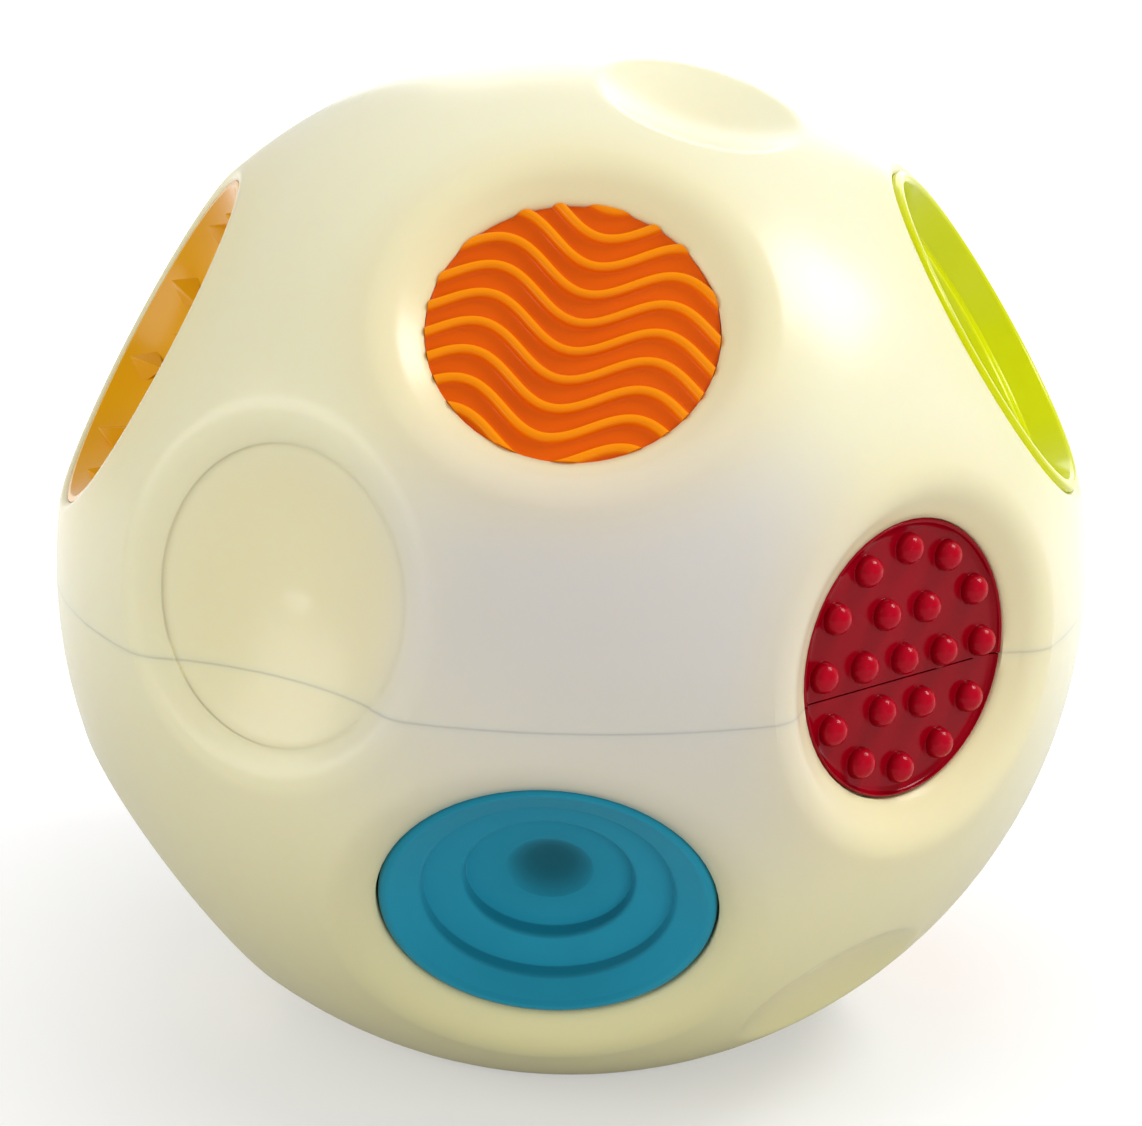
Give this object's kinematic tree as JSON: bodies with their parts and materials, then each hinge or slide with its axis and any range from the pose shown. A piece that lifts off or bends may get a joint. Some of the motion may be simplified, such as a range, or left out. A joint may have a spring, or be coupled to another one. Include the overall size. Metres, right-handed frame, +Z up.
{
  "type": "sensory ball",
  "caption": "Light-up sensory ball for a baby: milky two-part shell with wide dimples, textured colour inserts and soft press pads, on a flat base with a battery door.",
  "frame": {"origin": "centre of the flat base, on the plane that the ball stands on", "axes": "+Z up along the ball's standing axis; the level seam between the shells lies 66.85 mm up; the front, with the orange disc and the front blue pad, faces -Y, and the lime cup faces +X"},
  "size_m": [0.15, 0.15, 0.1419],
  "materials": {
    "milky_shell": "milky ivory translucent ABS, glossy",
    "orange_disc": "glossy orange plastic",
    "red_disc": "glossy crimson plastic",
    "yellow_disc": "glossy amber yellow plastic",
    "lime_cup": "glossy lime plastic",
    "blue_pad": "matte soft silicone, teal blue",
    "steel": "plated steel",
    "battery_jacket": "printed steel jacket, plain",
    "white_plastic": "white moulded plastic",
    "board_green": "coated circuit board",
    "lens_red": "clear red epoxy",
    "lens_green": "clear green epoxy",
    "lens_blue": "clear blue epoxy",
    "wire_jacket": "soft insulation",
    "black_plastic": "black moulded plastic"
  },
  "bodies": {
    "ball": {"upper_shell": "milky_shell", "lower_shell": "milky_shell", "orange_wave_disc_front": "orange_disc", "orange_wave_disc_back": "orange_disc", "red_stud_disc_front_upper": "red_disc", "red_stud_disc_front_lower": "red_disc", "red_stud_disc_back_upper": "red_disc", "red_stud_disc_back_lower": "red_disc", "yellow_pyramid_disc_left": "yellow_disc", "yellow_pyramid_disc_right": "yellow_disc", "lime_ring_cup": "lime_cup", "pad_switch_front": "black_plastic", "pad_switch_back": "black_plastic", "pad_board_front": "board_green", "pad_board_back": "board_green", "pad_board_screws": "steel", "battery_tray": "white_plastic", "tray_screws": "steel", "battery_front": "battery_jacket", "battery_middle": "battery_jacket", "battery_back": "battery_jacket", "contact_springs": "steel", "contact_plates": "steel", "circuit_board": "board_green", "board_screws": "steel", "control_chip": "black_plastic", "led_red": "lens_red", "led_green": "lens_green", "led_blue": "lens_blue", "motion_sensor_can": "steel", "motion_sensor_cap": "black_plastic", "power_switch_body": "black_plastic", "power_switch_screws": "steel", "wire_pad_front": "wire_jacket", "wire_pad_back": "wire_jacket", "wire_power_switch": "wire_jacket", "wire_battery": "wire_jacket"},
    "front_pad": {"blue_pad_front": "blue_pad", "stem_clip_front": "steel", "pad_plunger_front": "black_plastic"},
    "back_pad": {"blue_pad_back": "blue_pad", "stem_clip_back": "steel", "pad_plunger_back": "black_plastic"},
    "door": {"battery_door": "milky_shell"},
    "front_screw": {"door_screw_front": "steel"},
    "back_screw": {"door_screw_back": "steel"},
    "power_knob": {"power_switch_knob": "black_plastic"},
    "tilt_ball": {"motion_sensor_ball": "steel"}
  },
  "joints": [
    {"name": "front_pad_press", "type": "slide", "parent": "ball", "child": "front_pad", "axis": [0.0313, 0.8967, 0.4415], "range_m": [0, 0.0015], "stiffness_N_per_m": 800, "springref_m": -0.001},
    {"name": "back_pad_press", "type": "slide", "parent": "ball", "child": "back_pad", "axis": [-0.0316, -0.9058, -0.4226], "range_m": [0, 0.0015], "stiffness_N_per_m": 800, "springref_m": -0.001},
    {"name": "power_knob_slide", "type": "slide", "parent": "ball", "child": "power_knob", "axis": [-0.7771, 0.6293, 0], "range_m": [0, 0.004]},
    {"name": "door_lift_off", "type": "slide", "parent": "ball", "child": "door", "axis": [0, 0, -1], "range_m": [0, 0.03]},
    {"name": "front_screw_turn", "type": "hinge", "parent": "door", "child": "front_screw", "pos_m": [0, -0.023, 0.002], "axis": [0, 0, 1], "continuous": true},
    {"name": "back_screw_turn", "type": "hinge", "parent": "door", "child": "back_screw", "pos_m": [0, 0.023, 0.002], "axis": [0, 0, 1], "continuous": true},
    {"name": "tilt_ball_roll", "type": "slide", "parent": "ball", "child": "tilt_ball", "axis": [1, 0, 0], "range_m": [0, 0.0037]}
  ]
}
